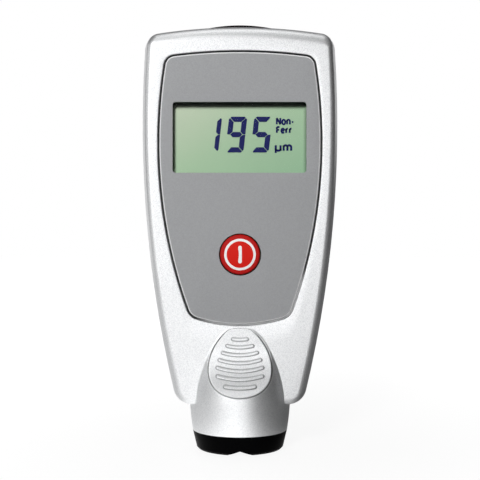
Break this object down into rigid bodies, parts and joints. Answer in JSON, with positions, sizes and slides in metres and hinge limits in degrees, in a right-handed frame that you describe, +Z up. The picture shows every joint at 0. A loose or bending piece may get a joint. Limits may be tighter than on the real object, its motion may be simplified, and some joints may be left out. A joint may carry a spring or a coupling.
{
  "type": "coating thickness gauge",
  "caption": "Handheld coating thickness gauge with a display panel, one push button, a ribbed finger scoop and a sprung probe in a V-grooved foot",
  "frame": {"origin": "middle of the foot's measuring face, on the probe axis", "axes": "+Z up the gauge from the foot to the top end, front face toward -Y, +X to the right seen from the front"},
  "size_m": [0.0578, 0.0296, 0.125],
  "materials": {
    "silver_plastic": "fine metallic silver",
    "panel_grey": "satin",
    "clear_window": "clear",
    "lcd_glass": "satin green grey",
    "lcd_ink": "flat",
    "button_red": "satin",
    "white_plastic": "satin",
    "black_plastic": "satin",
    "black_rubber": "matte",
    "dark_gloss": "gloss",
    "board_green": "satin",
    "capacitor_blue": "gloss",
    "cell_sleeve": "printed sleeve",
    "steel": "plain",
    "brass": "turned",
    "ferrite": "dull",
    "copper": "enamelled wire"
  },
  "bodies": {
    "housing": {"front_shell": "silver_plastic", "rear_shell": "silver_plastic", "front_panel": "panel_grey", "display_window": "clear_window", "lcd_cell": "lcd_glass", "display_segments": "lcd_ink", "display_reflector": "steel", "contact_strips": "black_rubber", "lcd_frame": "white_plastic", "circuit_board": "board_green", "microcontroller": "black_plastic", "signal_chip": "black_plastic", "crystal": "steel", "capacitors": "capacitor_blue", "sounder": "black_plastic", "infrared_diodes": "dark_gloss", "infrared_window": "dark_gloss", "switch_body": "black_plastic", "probe_cap": "black_plastic", "probe_guide": "brass", "spring_seat": "black_plastic", "probe_spring": "steel", "cell_left": "cell_sleeve", "cell_right": "cell_sleeve", "contact_springs": "steel", "contact_plates": "steel", "board_screws": "steel", "case_screws": "steel"},
    "button": {"power_button": "button_red", "button_symbol": "white_plastic", "switch_plunger": "white_plastic"},
    "probe": {"probe_sleeve": "steel", "probe_core": "ferrite", "probe_tip": "steel", "coil_bobbin": "white_plastic", "drive_coil": "copper", "pickup_coil": "copper"},
    "cover": {"battery_cover": "silver_plastic"}
  },
  "joints": [
    {"name": "button_press", "type": "slide", "parent": "housing", "child": "button", "axis": [0, 1, 0], "range_m": [0, 0.0004], "stiffness_N_per_m": 400, "springref_m": -0.001},
    {"name": "probe_slide", "type": "slide", "parent": "housing", "child": "probe", "axis": [0, 0, 1], "range_m": [0, 0.0012], "stiffness_N_per_m": 250, "springref_m": -0.001, "deforming": ["probe_spring"]},
    {"name": "cover_slide", "type": "slide", "parent": "housing", "child": "cover", "axis": [0, 0, 1], "range_m": [0, 0.066]}
  ]
}
